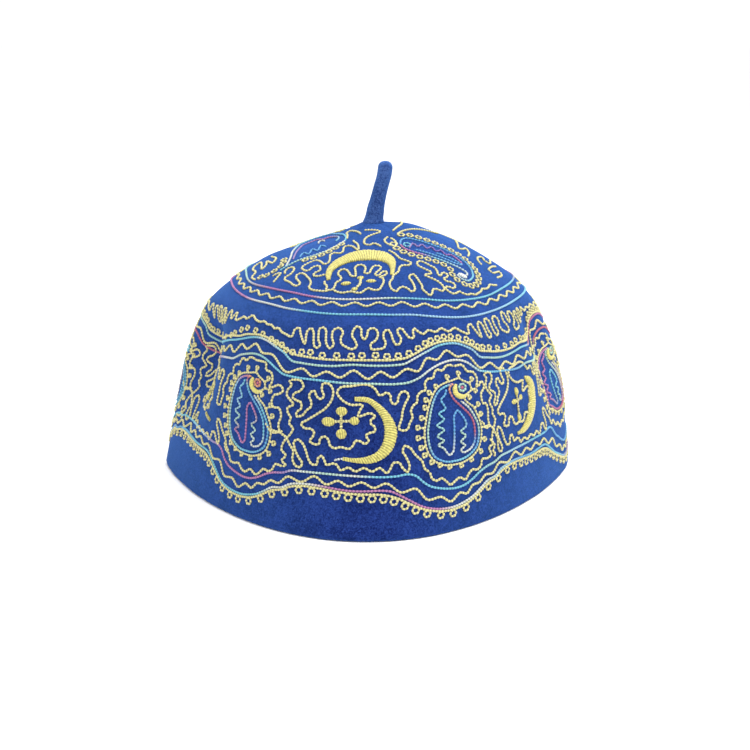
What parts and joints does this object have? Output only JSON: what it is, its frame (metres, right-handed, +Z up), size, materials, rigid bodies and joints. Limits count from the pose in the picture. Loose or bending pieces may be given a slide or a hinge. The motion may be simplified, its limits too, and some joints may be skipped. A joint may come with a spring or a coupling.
{
  "type": "kufi cap",
  "caption": "Soft felt kufi cap with flared rim, embroidered leaning wall, low dome and a small stalk; hollow and open below for the head.",
  "frame": {"origin": "middle of the cap's outline seen from above, on the surface that the rim stands on", "axes": "+Z up through the crown, -Y the front of the cap as worn, +X the wearer's left"},
  "size_m": [0.1748, 0.206, 0.1306],
  "materials": {
    "felt": "matte wool felt, royal blue, with chain stitch and satin stitch embroidery in yellow and blended thread",
    "stem_felt": "matte wool felt, royal blue, rolled"
  },
  "bodies": {
    "root": {"crown": "felt", "stem": "stem_felt"}
  },
  "joints": []
}
